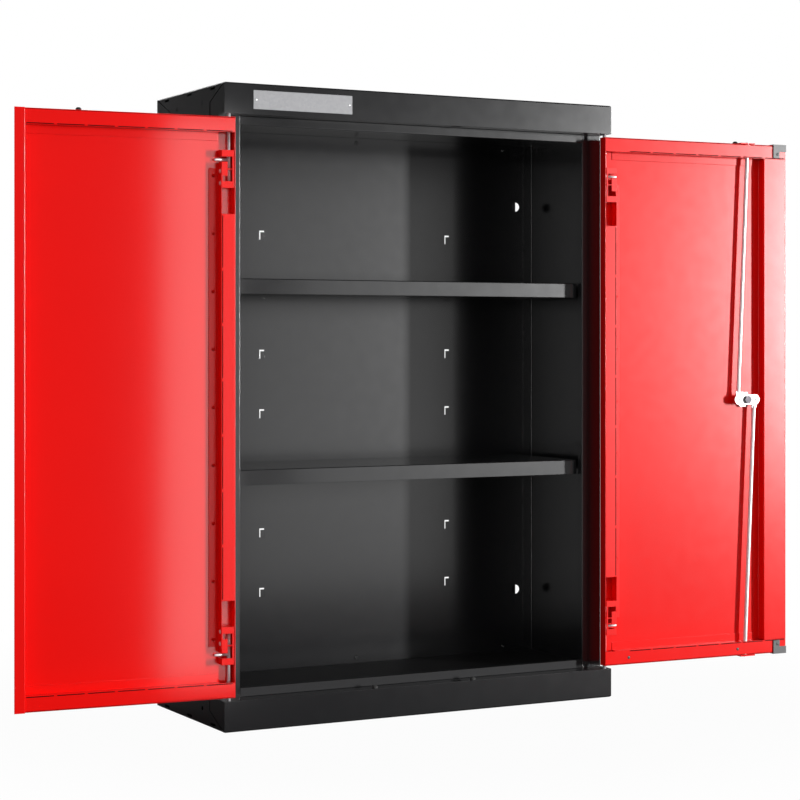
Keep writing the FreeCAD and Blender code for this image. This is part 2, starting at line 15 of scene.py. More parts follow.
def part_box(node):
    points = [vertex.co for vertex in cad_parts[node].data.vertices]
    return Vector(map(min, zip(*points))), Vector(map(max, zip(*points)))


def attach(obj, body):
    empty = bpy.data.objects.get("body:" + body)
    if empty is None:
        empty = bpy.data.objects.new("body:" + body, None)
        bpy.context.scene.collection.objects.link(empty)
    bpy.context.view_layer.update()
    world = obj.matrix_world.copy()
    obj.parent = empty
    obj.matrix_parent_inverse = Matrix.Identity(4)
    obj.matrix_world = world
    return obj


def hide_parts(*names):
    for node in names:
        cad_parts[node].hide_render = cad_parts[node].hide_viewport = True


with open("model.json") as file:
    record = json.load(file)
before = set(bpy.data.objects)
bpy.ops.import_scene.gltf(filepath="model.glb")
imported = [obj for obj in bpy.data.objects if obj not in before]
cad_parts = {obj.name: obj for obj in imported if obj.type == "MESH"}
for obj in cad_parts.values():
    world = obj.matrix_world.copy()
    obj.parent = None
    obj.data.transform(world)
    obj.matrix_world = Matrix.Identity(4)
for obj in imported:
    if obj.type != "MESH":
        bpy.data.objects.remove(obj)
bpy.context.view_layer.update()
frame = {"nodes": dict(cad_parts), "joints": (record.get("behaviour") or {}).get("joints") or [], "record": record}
nodes = frame["nodes"]

# %% [markdown]
# ## The camera
# The photograph shows upright edges that stay upright, so the camera looks level and the picture is shifted
# down instead of tilted. Its place was found from the cabinet's own corners: about 3.5 m away, to the left of
# the middle, at the height of the upper half.

# %% Camera
SENSOR_MM, LENS_MM, SHIFT_DOWN = 36.0, 94.93, 0.0716
CAMERA_PLACE = (-1.638, -3.123, 0.5992)
VIEW_DIRECTION = Vector((0.46995, 0.8827, 0.0))
camera_data = bpy.data.cameras.new("camera")
camera_data.sensor_width = SENSOR_MM
camera_data.lens = LENS_MM
camera_data.shift_y = -SHIFT_DOWN
camera = bpy.data.objects.new("camera", camera_data)
camera.location = CAMERA_PLACE
camera.rotation_mode = "QUATERNION"
camera.rotation_quaternion = VIEW_DIRECTION.to_track_quat("-Z", "Y")
bpy.context.scene.collection.objects.link(camera)
bpy.context.scene.camera = camera
bpy.context.scene.view_settings.view_transform = "Standard"
print("camera at", tuple(round(value, 3) for value in camera.location))

# %% [markdown]
# ## Building node trees
# Each material and each layout below is a node tree. Two small helpers keep the recipes short: one adds a
# node and sets its properties and sockets, the other joins two sockets.


# %% Node helpers
def add(tree, kind, sockets=None, **settings):
    """Adds a node, sets its properties, then its unlinked sockets."""
    made = tree.nodes.new(kind)
    for name, value in settings.items():
        setattr(made, name, value)
    for name, value in (sockets or {}).items():
        made.inputs[name].default_value = value
    return made


def join(tree, source, output, target, socket):
    """Links one node's output to another node's input."""
    tree.links.new(source.outputs[output], target.inputs[socket])


print("helpers ready")

# %% [markdown]
# ## World, floor and lamps
# The studio is white behind the cabinet and dark in front of it, which is why the left end of the doors
# and of the fascia is so deep in colour. The world is white for the camera, and for reflections it is white
# only where the backdrop stands. The floor is white for the camera too, with a faint contact shadow, and
# dark grey for all other light. A narrow key lamp stands far off at the right: the lock rods throw crisp
# shadows to the left, and its gloss grows from left to right along the fascia and the right door. Two panels
# only show in the gloss: a slim one that the hinge side of the left door mirrors, and a low one that the
# back panel mirrors. A last lamp lights the rear, for views from behind.

# %% World
FILL = 0.66
DIM_ROOM = 0.04
BACKDROP_START, BACKDROP_FULL = 0.93, 0.985
world = bpy.data.worlds.new("studio")
bpy.context.scene.world = world
world.use_nodes = True
sky = world.node_tree
sky.nodes.clear()
rays = add(sky, "ShaderNodeLightPath")
direction = add(sky, "ShaderNodeTexCoord")
parts = add(sky, "ShaderNodeSeparateXYZ")
backdrop = add(sky, "ShaderNodeMapRange",
               {"From Min": BACKDROP_START, "From Max": BACKDROP_FULL, "To Min": DIM_ROOM, "To Max": 1.0},
               interpolation_type="SMOOTHSTEP")
mirrored = add(sky, "ShaderNodeMath", operation="MAXIMUM")
in_gloss = add(sky, "ShaderNodeMix", {"A": FILL}, data_type="FLOAT")
in_view = add(sky, "ShaderNodeMix", {"B": 1.0}, data_type="FLOAT")
background = add(sky, "ShaderNodeBackground", {"Color": (1, 1, 1, 1)})
world_output = add(sky, "ShaderNodeOutputWorld")
join(sky, direction, "Generated", parts, 0)
join(sky, parts, "Y", backdrop, "Value")
join(sky, rays, "Is Glossy Ray", mirrored, 0)
join(sky, rays, "Is Transmission Ray", mirrored, 1)
join(sky, mirrored, 0, in_gloss, "Factor")
join(sky, backdrop, "Result", in_gloss, "B")
join(sky, rays, "Is Camera Ray", in_view, "Factor")
join(sky, in_gloss, "Result", in_view, "A")
join(sky, in_view, "Result", background, "Strength")
join(sky, background, 0, world_output, "Surface")
print("world fill:", FILL)

# %% Floor
FLOOR_RADIUS, FLOOR_GAP, FLOOR_SIDES = 14.0, 0.0005, 96
SHADOW_REACH, WHITE_REACH, SHADOW_WHITE = 0.5, 1.2, 0.97
PAPER_GREY = (0.10, 0.10, 0.10, 1)
floor_mesh = bpy.data.meshes.new("floor")
shape = bmesh.new()
bmesh.ops.create_circle(shape, cap_ends=True, radius=FLOOR_RADIUS, segments=FLOOR_SIDES)
bmesh.ops.translate(shape, verts=shape.verts, vec=(0, 0, -FLOOR_GAP))
shape.to_mesh(floor_mesh)
shape.free()
floor = bpy.data.objects.new("floor", floor_mesh)
bpy.context.scene.collection.objects.link(floor)

paper = bpy.data.materials.new("studio_paper")
paper.use_nodes = True
tree = paper.node_tree
tree.nodes.clear()
place = add(tree, "ShaderNodeTexCoord")
distance = add(tree, "ShaderNodeVectorMath", operation="LENGTH")
fade = add(tree, "ShaderNodeMapRange",
           {"From Min": SHADOW_REACH, "From Max": WHITE_REACH, "To Min": SHADOW_WHITE, "To Max": 1.0},
           interpolation_type="SMOOTHSTEP")
rays = add(tree, "ShaderNodeLightPath")
share = add(tree, "ShaderNodeMath", operation="MULTIPLY")
matte = add(tree, "ShaderNodeBsdfDiffuse", {"Color": PAPER_GREY})
white = add(tree, "ShaderNodeEmission", {"Color": (1, 1, 1, 1), "Strength": 1.0})
blend = add(tree, "ShaderNodeMixShader")
out = add(tree, "ShaderNodeOutputMaterial")
join(tree, place, "Object", distance, 0)
join(tree, distance, "Value", fade, "Value")
join(tree, fade, "Result", share, 0)
join(tree, rays, "Is Camera Ray", share, 1)
join(tree, share, 0, blend, "Fac")
join(tree, matte, 0, blend, 1)
join(tree, white, 0, blend, 2)
join(tree, blend, 0, out, "Surface")
floor_mesh.materials.append(paper)
print("floor radius:", FLOOR_RADIUS)


# %% Lamps
def panel_lamp(name, place, aim, width, height, radiance, gloss_only=False):
    """A rectangular lamp that gives the same radiance whatever its size."""
    data = bpy.data.lights.new(name, "AREA")
    data.shape = "RECTANGLE"
    data.size = width
    data.size_y = height
    data.energy = radiance * math.pi * width * height
    lamp = bpy.data.objects.new(name, data)
    lamp.location = place
    lamp.rotation_mode = "QUATERNION"
    lamp.rotation_quaternion = (Vector(aim) - Vector(place)).to_track_quat("-Z", "Y")
    lamp.visible_camera = False
    lamp.visible_diffuse = not gloss_only
    bpy.context.scene.collection.objects.link(lamp)


KEY_ANGLE, KEY_DISTANCE, KEY_HEIGHT = math.radians(43.0), 9.0, 1.0
KEY_CENTRE_X, KEY_CENTRE_Y = 0.3, -0.14
key_place = (KEY_CENTRE_X + KEY_DISTANCE * math.sin(KEY_ANGLE),
             KEY_CENTRE_Y - KEY_DISTANCE * math.cos(KEY_ANGLE), KEY_HEIGHT)
panel_lamp("key", place=key_place, aim=(0.0, -0.1, 0.5), width=0.35, height=2.0, radiance=400.0)
panel_lamp("left_gloss", place=(-0.235, -0.6, 0.5), aim=(-0.235, 0.0, 0.5),
           width=0.21, height=0.99, radiance=3.5, gloss_only=True)
panel_lamp("low_gloss", place=(0.62, -1.2, 0.48), aim=(0.62, 0.0, 0.48),
           width=0.64, height=1.08, radiance=0.85, gloss_only=True)
panel_lamp("rear_fill", place=(1.2, 3.4, 1.6), aim=(0.0, 0.1, 0.5), width=2.0, height=1.6, radiance=4.0)

# %% [markdown]
# ## Paint
# Both colours are powder paint on folded steel. Powder flows out to a fine orange peel, so a very small noise
# drives the bump, a broader one moves the roughness, and a slow one shifts the colour a little. Sheet edges
# are never knife-sharp: the Bevel node rounds the normals there, so that every fold catches a thin line of
# light. The hinge posts and the bolt brackets are satin, and the cabinet's floor is nearly matt.

# %% Powder paint
PAINT_SPREAD = 0.012


def two_tones(tree, low, low_colour, high, high_colour):
    """A colour ramp from one tone to another."""
    ramp = add(tree, "ShaderNodeValToRGB")
    first, last = ramp.color_ramp.elements
    first.position = low
    first.color = (*low_colour, 1)
    last.position = high
    last.color = (*high_colour, 1)
    return ramp


def powder_paint(name, colour, deep, roughness, specular):
    """Powder paint: two tones, orange peel, and softened sheet edges."""
    material = bpy.data.materials.new(name)
    material.use_nodes = True
    tree = material.node_tree
    paint = tree.nodes["Principled BSDF"]
    place = add(tree, "ShaderNodeTexCoord")
    cloud = add(tree, "ShaderNodeTexNoise", {"Scale": 7.0, "Detail": 3.0})
    tone = two_tones(tree, low=0.3, low_colour=deep, high=0.7, high_colour=colour)
    patch = add(tree, "ShaderNodeTexNoise", {"Scale": 45.0, "Detail": 2.0})
    gloss = add(tree, "ShaderNodeMapRange",
                {"To Min": roughness - PAINT_SPREAD, "To Max": roughness + PAINT_SPREAD})
    peel = add(tree, "ShaderNodeTexNoise", {"Scale": 850.0, "Detail": 1.5})
    edge = add(tree, "ShaderNodeBevel", {"Radius": 0.0008}, samples=4)
    relief = add(tree, "ShaderNodeBump", {"Strength": 0.04, "Distance": 0.0002})
    for texture in (cloud, patch, peel):
        join(tree, place, "Object", texture, "Vector")
    join(tree, cloud, "Fac", tone, "Fac")
    join(tree, tone, "Color", paint, "Base Color")
    join(tree, patch, "Fac", gloss, "Value")
    join(tree, gloss, "Result", paint, "Roughness")
    join(tree, peel, "Fac", relief, "Height")
    join(tree, edge, "Normal", relief, "Normal")
    join(tree, relief, "Normal", paint, "Normal")
    paint.inputs["Specular IOR Level"].default_value = specular
    return material


RED, DEEP_RED = (0.84, 0.0022, 0.0008), (0.82, 0.0018, 0.0007)
BLACK, DEEP_BLACK = (0.008, 0.008, 0.009), (0.007, 0.007, 0.008)
MATT_BLACK, DEEP_MATT = (0.010, 0.010, 0.011), (0.008, 0.008, 0.009)
red_paint = powder_paint("red_powder_paint", RED, DEEP_RED, roughness=0.185, specular=0.5)
red_satin = powder_paint("red_satin_paint", RED, DEEP_RED, roughness=0.30, specular=0.2)
black_paint = powder_paint("black_powder_paint", BLACK, DEEP_BLACK, roughness=0.18, specular=0.85)
black_matt = powder_paint("black_matt_paint", MATT_BLACK, DEEP_MATT, roughness=0.55, specular=0.2)
print("paints:", red_paint.name, red_satin.name, black_paint.name, black_matt.name)

# %% [markdown]
# ## Plating, plastic and rubber
# The rods, bolts and crank are bright zinc: a pale metal with a faint spangle and long draw marks. The
# crank's nut is duller. The lock's housing and barrel are dark chrome with fine polishing marks, and the
# blank plate is grey brushed aluminium. The corner caps are grained plastic, and the buffers are matt rubber
# with a little dust in the grain. Two shades with hardly any gloss serve for slits and seams; the slits' dark
# red is painted shade, the dark of an open slit.

# %% Metals
SMOOTHER, ROUGHER = 0.07, 0.09


def plated(name, pale, dark, roughness, grain, stretch, metallic=1.0):
    """A plated metal: slow spangle in the colour, fine drawn marks in the roughness and the relief."""
    material = bpy.data.materials.new(name)
    material.use_nodes = True
    tree = material.node_tree
    metal = tree.nodes["Principled BSDF"]
    metal.inputs["Metallic"].default_value = metallic
    place = add(tree, "ShaderNodeTexCoord")
    spangle = add(tree, "ShaderNodeTexVoronoi", {"Scale": 260.0})
    tone = add(tree, "ShaderNodeMix", {"A": (*dark, 1), "B": (*pale, 1)}, data_type="RGBA")
    marks = add(tree, "ShaderNodeMapping", {"Scale": stretch})
    drawn = add(tree, "ShaderNodeTexNoise", {"Scale": grain, "Detail": 4.0})
    gloss = add(tree, "ShaderNodeMapRange", {"To Min": roughness - SMOOTHER, "To Max": roughness + ROUGHER})
    relief = add(tree, "ShaderNodeBump", {"Strength": 0.08, "Distance": 0.0001})
    join(tree, place, "Object", spangle, "Vector")
    join(tree, place, "Object", marks, "Vector")
    join(tree, marks, "Vector", drawn, "Vector")
    join(tree, spangle, "Color", tone, "Factor")
    join(tree, tone, "Result", metal, "Base Color")
    join(tree, drawn, "Fac", gloss, "Value")
    join(tree, gloss, "Result", metal, "Roughness")
    join(tree, drawn, "Fac", relief, "Height")
    join(tree, relief, "Normal", metal, "Normal")
    return material


zinc = plated("bright_zinc", (0.93, 0.92, 0.93), (0.84, 0.84, 0.86), roughness=0.34, grain=900.0,
              stretch=(1.0, 1.0, 0.05), metallic=0.6)
dull_zinc = plated("dull_zinc", (0.10, 0.09, 0.10), (0.07, 0.07, 0.08), roughness=0.50, grain=600.0,
                   stretch=(1.0, 1.0, 1.0))
chrome = plated("lock_chrome", (0.42, 0.41, 0.42), (0.36, 0.36, 0.37), roughness=0.16, grain=700.0,
                stretch=(1.0, 0.1, 1.0))
aluminium = plated("brushed_aluminium", (0.30, 0.30, 0.31), (0.26, 0.26, 0.27), roughness=0.50, grain=1500.0,
                   stretch=(0.03, 1.0, 1.0), metallic=0.15)
print("metals:", zinc.name, dull_zinc.name, chrome.name, aluminium.name)

# %% Plastic, rubber and shades
GRAIN_SPREAD = 0.06
SHADE_SPECULAR = 0.05


def grained(name, colour, dust, roughness, grain, depth):
    """A moulded surface: fine grain in the relief, and paler dust where the grain is deep."""
    material = bpy.data.materials.new(name)
    material.use_nodes = True
    tree = material.node_tree
    skin = tree.nodes["Principled BSDF"]
    place = add(tree, "ShaderNodeTexCoord")
    grains = add(tree, "ShaderNodeTexNoise", {"Scale": grain, "Detail": 3.0})
    tone = two_tones(tree, low=0.35, low_colour=dust, high=0.6, high_colour=colour)
    gloss = add(tree, "ShaderNodeMapRange",
                {"To Min": roughness - GRAIN_SPREAD, "To Max": roughness + GRAIN_SPREAD})
    relief = add(tree, "ShaderNodeBump", {"Strength": depth, "Distance": 0.0002})
    join(tree, place, "Object", grains, "Vector")
    join(tree, grains, "Fac", tone, "Fac")
    join(tree, tone, "Color", skin, "Base Color")
    join(tree, grains, "Fac", gloss, "Value")
    join(tree, gloss, "Result", skin, "Roughness")
    join(tree, grains, "Fac", relief, "Height")
    join(tree, relief, "Normal", skin, "Normal")
    return material


plastic = grained("moulded_plastic", (0.05, 0.05, 0.052), (0.065, 0.065, 0.067),
                  roughness=0.42, grain=1300.0, depth=0.3)
rubber = grained("buffer_rubber", (0.022, 0.022, 0.022), (0.032, 0.031, 0.030),
                 roughness=0.72, grain=900.0, depth=0.4)
# The slits' colour is painted shade: the dark red of shaded paint inside an open slit.
slit_shade = grained("slit_shade", (0.030, 0.001, 0.001), (0.045, 0.001, 0.001),
                     roughness=0.8, grain=500.0, depth=0.2)
seam_shade = grained("seam_shade", (0.002, 0.002, 0.002), (0.003, 0.003, 0.003),
                     roughness=0.8, grain=500.0, depth=0.2)
for shade in (slit_shade, seam_shade):
    shade.node_tree.nodes["Principled BSDF"].inputs["Specular IOR Level"].default_value = SHADE_SPECULAR
print("mouldings and shades:", plastic.name, rubber.name, slit_shade.name, seam_shade.name)

# %% [markdown]
# ## Dressing the frame
# Every CAD node already knows its finish: the record names a material slot for each. One table turns those
# slots into the materials above, so that a node can't be forgotten. A few nodes have a finish of their own.

# %% Finishes by slot
finish_of = {"black_paint": black_paint, "red_paint": red_paint, "zinc": zinc, "lock_chrome": chrome,
             "black_plastic": plastic, "black_rubber": rubber}
own_finish = {"cam_nut": dull_zinc, "floor_panel": black_matt}
SATIN_ENDINGS = ("hinge_post", "bracket")
for row in frame["record"]["subparts"]:
    finish = own_finish.get(row["node"], finish_of[row["material_slot"]])
    if row["node"].endswith(SATIN_ENDINGS):
        finish = red_satin
    mesh = nodes[row["node"]].data
    mesh.materials.clear()
    mesh.materials.append(finish)

# %% [markdown]
# ## Where the doors are
# The small pieces on a door are easiest to place on the shut door, in millimetres from the middle of the
# cabinet, as the left door has them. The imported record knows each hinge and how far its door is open, so one
# function carries such a point to the open door, mirrored for the right one.

# %% Door places
MM = 0.001
hinges = {joint["name"]: joint for joint in frame["joints"]}
left_hinge = hinges["left_door_swing"]
right_hinge = hinges["right_door_swing"]
opening = {"left": (left_hinge["pos_m"], -left_hinge["range_deg"][1], 1),
           "right": (right_hinge["pos_m"], -right_hinge["range_deg"][0], -1)}


def door_turn(hand):
    """The turn that opens a shut door."""
    return Matrix.Rotation(math.radians(opening[hand][1]), 4, "Z")


def on_door(hand, x, y, z):
    """A point of the shut left door, in millimetres, where that open door has it, in metres."""
    hinge, _, mirror = opening[hand]
    axis = Vector((hinge[0], hinge[1], 0))
    return axis + door_turn(hand) @ (Vector((x * mirror, y, z)) * MM - axis)


def facing_middle(hand):
    """Turns a piece that points along Y to the side that faces the cabinet's middle when the door is shut."""
    sideways = Vector((opening[hand][2], 0, 0))
    return door_turn(hand) @ Vector((0, 1, 0)).rotation_difference(sideways).to_matrix().to_4x4()


print("doors are open by", {hand: round(place[1], 1) for hand, place in opening.items()}, "degrees")

# %% [markdown]
# ## Small pieces and how they are set out
# Rivets, slits and tongues repeat at a fixed pitch. Each is modelled once, as a small mesh around the
# origin, and a Geometry Nodes tree copies it along a row, then copies the row. Round pieces are turned from
# a profile, flat ones are plates with broken edges.


# %% Small meshes
def turned(name, profile, segments, matrix):
    """A round piece: pairs of radius and height in millimetres, turned about Y, then put in place."""
    shape = bmesh.new()
    rings = []
    for radius, height in profile:
        if radius == 0:
            rings.append([shape.verts.new((0, height * MM, 0))] * segments)
            continue
        ring = []
        for index in range(segments):
            angle = 2 * math.pi * index / segments
            point = (radius * MM * math.cos(angle), height * MM, radius * MM * math.sin(angle))
            ring.append(shape.verts.new(point))
        rings.append(ring)
    for lower, upper in zip(rings, rings[1:]):
        for index in range(segments):
            corners = (lower[index - 1], lower[index], upper[index], upper[index - 1])
            shape.faces.new(list(dict.fromkeys(corners)))
    return placed(name, shape, matrix, smooth=True)


def plate(name, size, bevel, matrix):
    """A flat piece with broken edges, its size in millimetres."""
    shape = bmesh.new()
    bmesh.ops.create_cube(shape, size=1.0)
    bmesh.ops.scale(shape, verts=shape.verts, vec=Vector(size) * MM)
    bmesh.ops.bevel(shape, geom=shape.edges[:], offset=bevel * MM, segments=2, profile=0.5, affect="EDGES")
    return placed(name, shape, matrix, smooth=False)


def placed(name, shape, matrix, smooth):
    """Finishes a small mesh: outward faces, its place applied."""
    bmesh.ops.recalc_face_normals(shape, faces=shape.faces)
    for face in shape.faces:
        face.smooth = smooth
    mesh = bpy.data.meshes.new(name)
    shape.to_mesh(mesh)
    shape.free()
    mesh.transform(matrix)
    return mesh


def joined(name, meshes):
    """One mesh of several."""
    shape = bmesh.new()
    for mesh in meshes:
        shape.from_mesh(mesh)
    whole = bpy.data.meshes.new(name)
    shape.to_mesh(whole)
    shape.free()
    return whole


print("small meshes ready")


# %% Set-out tree
def set_out_tree():
    """A tree that copies the object's own mesh along a row, and the row along a second step."""
    tree = bpy.data.node_groups.new("set_out", "GeometryNodeTree")
    inputs = (("Piece", "Geometry"), ("Count", "Int"), ("Start", "Vector"), ("Step", "Vector"),
              ("Rows", "Int"), ("Row Step", "Vector"), ("Finish", "Material"))
    for name, kind in inputs:
        tree.interface.new_socket(name, in_out="INPUT", socket_type="NodeSocket" + kind)
    tree.interface.new_socket("Pieces", in_out="OUTPUT", socket_type="NodeSocketGeometry")
    given = add(tree, "NodeGroupInput")
    row = add(tree, "GeometryNodeMeshLine", mode="OFFSET")
    rows = add(tree, "GeometryNodeMeshLine", mode="OFFSET")
    along = add(tree, "GeometryNodeInstanceOnPoints")
    across = add(tree, "GeometryNodeInstanceOnPoints")
    real = add(tree, "GeometryNodeRealizeInstances")
    painted = add(tree, "GeometryNodeSetMaterial")
    made = add(tree, "NodeGroupOutput")
    join(tree, given, "Count", row, "Count")
    join(tree, given, "Start", row, "Start Location")
    join(tree, given, "Step", row, "Offset")
    join(tree, given, "Rows", rows, "Count")
    join(tree, given, "Row Step", rows, "Offset")
    join(tree, row, "Mesh", along, "Points")
    join(tree, given, "Piece", along, "Instance")
    join(tree, rows, "Mesh", across, "Points")
    join(tree, along, "Instances", across, "Instance")
    join(tree, across, "Instances", real, "Geometry")
    join(tree, real, "Geometry", painted, "Geometry")
    join(tree, given, "Finish", painted, "Material")
    join(tree, painted, "Geometry", made, "Pieces")
    return tree


SET_OUT = set_out_tree()


def show(name, mesh, body):
    """Makes a mesh a piece that rides on a body."""
    piece = bpy.data.objects.new(name, mesh)
    bpy.context.scene.collection.objects.link(piece)
    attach(piece, body)
    return piece


def set_out(name, body, mesh, finish, start, step=(0, 0, 0), count=1, rows=1, row_step=(0, 0, 0)):
    """Copies a small mesh in rows, as one plain mesh that rides on a body."""
    pattern = bpy.data.objects.new(name + "_pattern", mesh)
    bpy.context.scene.collection.objects.link(pattern)
    layout = pattern.modifiers.new("set_out", "NODES")
    layout.node_group = SET_OUT
    values = {"Count": count, "Start": tuple(start), "Step": tuple(step), "Rows": rows,
              "Row Step": tuple(row_step), "Finish": finish}
    for socket in SET_OUT.interface.items_tree:
        if socket.name in values:
            layout[socket.identifier] = values[socket.name]
    graph = bpy.context.evaluated_depsgraph_get()
    plain = bpy.data.meshes.new_from_object(pattern.evaluated_get(graph))
    plain.name = name
    bpy.data.objects.remove(pattern)
    show(name, plain, body)


print("tree inputs:", [socket.name for socket in SET_OUT.interface.items_tree])

# %% [markdown]
# ## Slit bend lines
# The doors' flanges are bent along rows of narrow slits, which stay open as dark dashes with short bridges
# between them. No slit is cut here: a thin dark red inlay just inside each bend is painted shade, the dark
# of the open slits. The hinge posts have longer ones.

# %% Slits
HINGE_X, INNER_Y = -351.6, -120.5
DOOR_LOW, DOOR_HIGH = 54.0, 946.0
END_FLANGE, POST_WIDTH, POST_CUT = 24.0, 22.0, 149.5
DOOR_WIDTH = {"left": 327.6, "right": 371.6}
SLIT_PITCH, SLIT_BRIDGE, SLIT_HEIGHT = 46.5, 5.0, 1.4
INLAY_DEPTH, INLAY_BEVEL = 0.3, 0.1
POST_SLIT_COUNT = 7
slit_rise = END_FLANGE - SLIT_HEIGHT
post_low, post_high = DOOR_LOW + POST_CUT, DOOR_HIGH - POST_CUT
post_pitch = (post_high - post_low) / POST_SLIT_COUNT
for hand in ("left", "right"):
    free_x = HINGE_X + DOOR_WIDTH[hand]
    count = int(DOOR_WIDTH[hand] / SLIT_PITCH)
    dash = (SLIT_PITCH - SLIT_BRIDGE, INLAY_DEPTH, SLIT_HEIGHT)
    # Each dash is a dark inlay on the flange: painted shade where an open slit would be.
    mesh = plate("slit", dash, INLAY_BEVEL, door_turn(hand))
    start = on_door(hand, free_x - SLIT_PITCH / 2, INNER_Y, DOOR_LOW + slit_rise)
    step = on_door(hand, free_x - SLIT_PITCH * 1.5, INNER_Y, DOOR_LOW + slit_rise) - start
    rise = Vector((0, 0, (DOOR_HIGH - DOOR_LOW - 2 * slit_rise) * MM))
    set_out(hand + "_end_slits", hand + "_door", mesh, slit_shade, start, step, count,
            rows=2, row_step=rise)
    dash = (SLIT_HEIGHT, INLAY_DEPTH, post_pitch - SLIT_BRIDGE)
    mesh = plate("post_slit", dash, INLAY_BEVEL, door_turn(hand))
    start = on_door(hand, HINGE_X + POST_WIDTH - SLIT_HEIGHT, INNER_Y, post_low + post_pitch / 2)
    step = Vector((0, 0, post_pitch * MM))
    set_out(hand + "_post_slits", hand + "_door", mesh, slit_shade, start, step,
            count=POST_SLIT_COUNT)
    print(hand, "door:", count, "slits on each flange")

# %% [markdown]
# ## Seams of the caps
# Each cap is folded from one sheet. Its front and rear walls turn the corner as flaps, so every side shows
# two seams: slanted from the corner, then upright. A thin dark inlay on the surface gives each line.

# %% Cap seams
SEAM_WIDTH, SEAM_FLAP, SEAM_SLANT, SEAM_START = 1.2, 57.0, 26.0, 2.0
for cap, inward in (("top_cap", -1), ("base_cap", 1)):
    low, high = (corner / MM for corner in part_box(cap))
    edge_z, open_z = (high.z, low.z) if inward < 0 else (low.z, high.z)
    lines = []
    for wall_y, turn in ((low.y, 1), (high.y, -1)):
        corner = Vector((low.x, wall_y, edge_z))
        knee = corner + Vector((0, turn * SEAM_FLAP, inward * SEAM_SLANT))
        corner += (knee - corner).normalized() * SEAM_START
        for first, last in ((corner, knee), (knee, Vector((knee.x, knee.y, open_z)))):
            run = last - first
            lean = Vector((0, 0, 1)).rotation_difference(run).to_matrix().to_4x4()
            place = Matrix.Translation((first + last) / 2 * MM) @ lean
            lines.append(plate("seam", (INLAY_DEPTH, SEAM_WIDTH, run.length), INLAY_BEVEL, place))
    mesh = joined("seams", lines)
    step = Vector(((high.x - low.x) * MM, 0, 0))
    set_out(cap + "_seams", "carcass", mesh, seam_shade, start=(0, 0, 0), step=step, count=2)
print("seams: 2 on each side of each cap")

# %% [markdown]
# ## Rivets and spot welds
# Each bolt bracket is riveted through the wall of its hinge post. The back is held by six blind rivets, whose
# stems leave a small pit in the middle. The feet of the posts are spot-welded, which leaves shallow round
# dimples under the paint.

# %% Bracket rivets
DOME = ((0, 1.6), (1.4, 1.5), (2.5, 1.1), (3.2, 0.5), (3.5, 0.0), (3.5, -0.2), (0, -0.2))
RIVET_Y, RIVET_HIGH, RIVET_PITCH = -125.8, 862.0, 18.5
POST_SHEET, MIDDLE_Z = 1.0, 500.0
ROUND, SMALL_ROUND = 20, 16
for hand in ("left", "right"):
    for end, sign in (("upper", 1), ("lower", -1)):
        mesh = turned("rivet", DOME, ROUND, facing_middle(hand))
        z = MIDDLE_Z + sign * (RIVET_HIGH - MIDDLE_Z)
        start = on_door(hand, HINGE_X + POST_WIDTH + POST_SHEET, RIVET_Y, z)
        step = Vector((0, 0, -sign * RIVET_PITCH * MM))
        set_out(hand + "_" + end + "_rivets", hand + "_door", mesh, zinc, start, step, count=2)
print("bracket rivets: 2 on each of 4 brackets")

# %% Back rivets
BLIND = ((0, 0.4), (1.0, 0.4), (1.1, 1.4), (2.2, 1.3), (3.4, 0.7), (3.9, 0.0), (3.9, -0.2), (0, -0.2))
BACK_Y, BACK_RIVET_X, BACK_RIVET_LOW, BACK_RIVET_HIGH = 113.0, 293.0, 58.0, 942.0
forward = Matrix.Rotation(math.pi, 4, "Z")
mesh = turned("blind_rivet", BLIND, ROUND, forward)
start = Vector((-BACK_RIVET_X, BACK_Y, BACK_RIVET_LOW)) * MM
step = Vector((BACK_RIVET_X * MM, 0, 0))
rise = Vector((0, 0, (BACK_RIVET_HIGH - BACK_RIVET_LOW) * MM))
set_out("back_rivets", "carcass", mesh, black_paint, start, step, count=3,
        rows=2, row_step=rise)
print("back rivets: 6")

# %% Spot welds
WELD = ((0, 0.03), (1.6, 0.03), (2.1, 0.07), (2.6, 0.05), (2.9, 0.0), (2.9, -0.1), (0, -0.1))
WELD_COUNT, WELD_INSET = 9, 90.0
POST_FOOT_Y, POST_FOOT = -135.5, 15.0
weld_pitch = (DOOR_HIGH - DOOR_LOW - 2 * WELD_INSET) / (WELD_COUNT - 1)
for hand in ("left", "right"):
    mesh = turned("weld", WELD, SMALL_ROUND, door_turn(hand))
    weld_x = HINGE_X + POST_WIDTH + POST_SHEET + POST_FOOT / 2
    start = on_door(hand, weld_x, POST_FOOT_Y, DOOR_LOW + WELD_INSET)
    step = Vector((0, 0, weld_pitch * MM))
    set_out(hand + "_post_welds", hand + "_door", mesh, red_satin, start, step, WELD_COUNT)
print("spot welds:", WELD_COUNT, "on each hinge post")

# %% [markdown]
# ## Tongues in the shelf slots
# Each shelf slot is lanced, not punched out: a tongue stays in it, joined at its right and lower edges, and
# leaves an open corner where the light of the backdrop shows through. The shelves' hooks fill the other two
# rows.

# %% Slot tongues
SLOT_X, SLOT_WIDTH, SLOT_HEIGHT, BACK_SHEET = 178.0, 9.0, 15.0, 1.0
TONGUE_GAP_SIDE, TONGUE_GAP_TOP, TONGUE_LAP = 2.0, 2.6, 0.2
TONGUE_THINNER, TONGUE_BEVEL = 0.3, 0.15
FREE_ROWS = (("low", 180.0, 2), ("middle", 480.0, 2), ("high", 780.0, 1))
SLOT_PITCH = 100.0
size = (SLOT_WIDTH - TONGUE_GAP_SIDE + TONGUE_LAP, BACK_SHEET - TONGUE_THINNER,
        SLOT_HEIGHT - TONGUE_GAP_TOP + TONGUE_LAP)
centre = Vector(((TONGUE_GAP_SIDE + TONGUE_LAP) / 2, BACK_Y + BACK_SHEET / 2,
                 -(TONGUE_GAP_TOP + TONGUE_LAP) / 2))
columns = Vector((2 * SLOT_X * MM, 0, 0))
